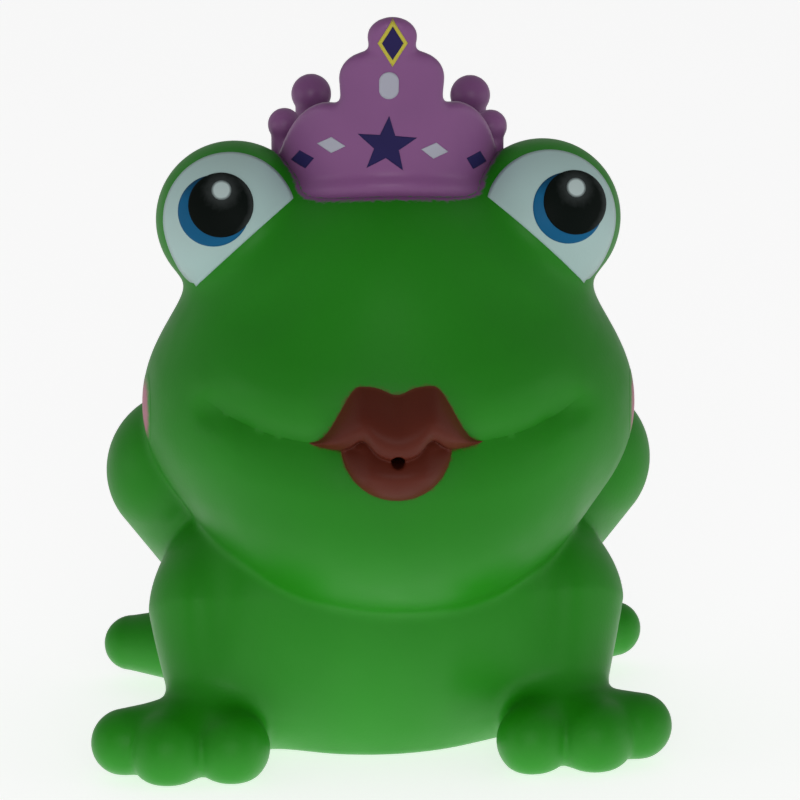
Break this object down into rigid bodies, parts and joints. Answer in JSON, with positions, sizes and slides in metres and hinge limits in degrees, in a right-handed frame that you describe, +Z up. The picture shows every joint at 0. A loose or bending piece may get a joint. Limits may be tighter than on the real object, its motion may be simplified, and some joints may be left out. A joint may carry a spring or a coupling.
{
  "type": "squeaky bath toy",
  "caption": "Soft hollow vinyl frog with a crown and puckered lips; a squeeze drives air through a reed squeaker in its base.",
  "frame": {"origin": "on the floor under the middle of the toy's outer box", "axes": "+Z up, +X to the viewer's right when the frog is seen from the front, and the frog faces -Y"},
  "size_m": [0.07, 0.0595, 0.0906],
  "materials": {
    "green_vinyl": "satin",
    "purple_spray": "satin",
    "red_spray": "matte",
    "ivory_print": "satin",
    "blue_print": "satin",
    "black_print": "gloss",
    "pink_spray": "matte",
    "dark_blue_print": "satin",
    "yellow_print": "satin",
    "pale_print": "satin",
    "squeaker_plastic": "matte",
    "reed_brass": "polished"
  },
  "bodies": {
    "body": {"body_skin": "green_vinyl", "squeaker_cup": "squeaker_plastic", "reed_block": "squeaker_plastic", "reed_wedge": "squeaker_plastic", "squeaker_cap": "squeaker_plastic"},
    "head": {"head_skin": "green_vinyl", "crown": "purple_spray", "lips": "red_spray", "left_eye_white": "ivory_print", "right_eye_white": "ivory_print", "left_iris": "blue_print", "right_iris": "blue_print", "left_pupil": "black_print", "right_pupil": "black_print", "left_glint": "ivory_print", "right_glint": "ivory_print", "left_cheek": "pink_spray", "right_cheek": "pink_spray", "crown_star": "dark_blue_print", "crown_lozenge_frame": "yellow_print", "crown_lozenge": "dark_blue_print", "crown_oval": "pale_print", "crown_white_diamonds": "pale_print", "crown_blue_diamonds": "dark_blue_print"},
    "reed": {"reed": "reed_brass"}
  },
  "joints": [
    {"name": "squeeze", "type": "slide", "parent": "body", "child": "head", "axis": [0, 0, -1], "range_m": [0, 0.006], "stiffness_N_per_m": 900, "springref_m": -0.002, "deforming": ["body_skin"]},
    {"name": "reed_flutter", "type": "hinge", "parent": "body", "child": "reed", "pos_m": [0, 0.0042, 0.0024], "axis": [1, 0, 0], "range_deg": [-4, 4], "stiffness_Nm_per_rad": 0.0005}
  ]
}
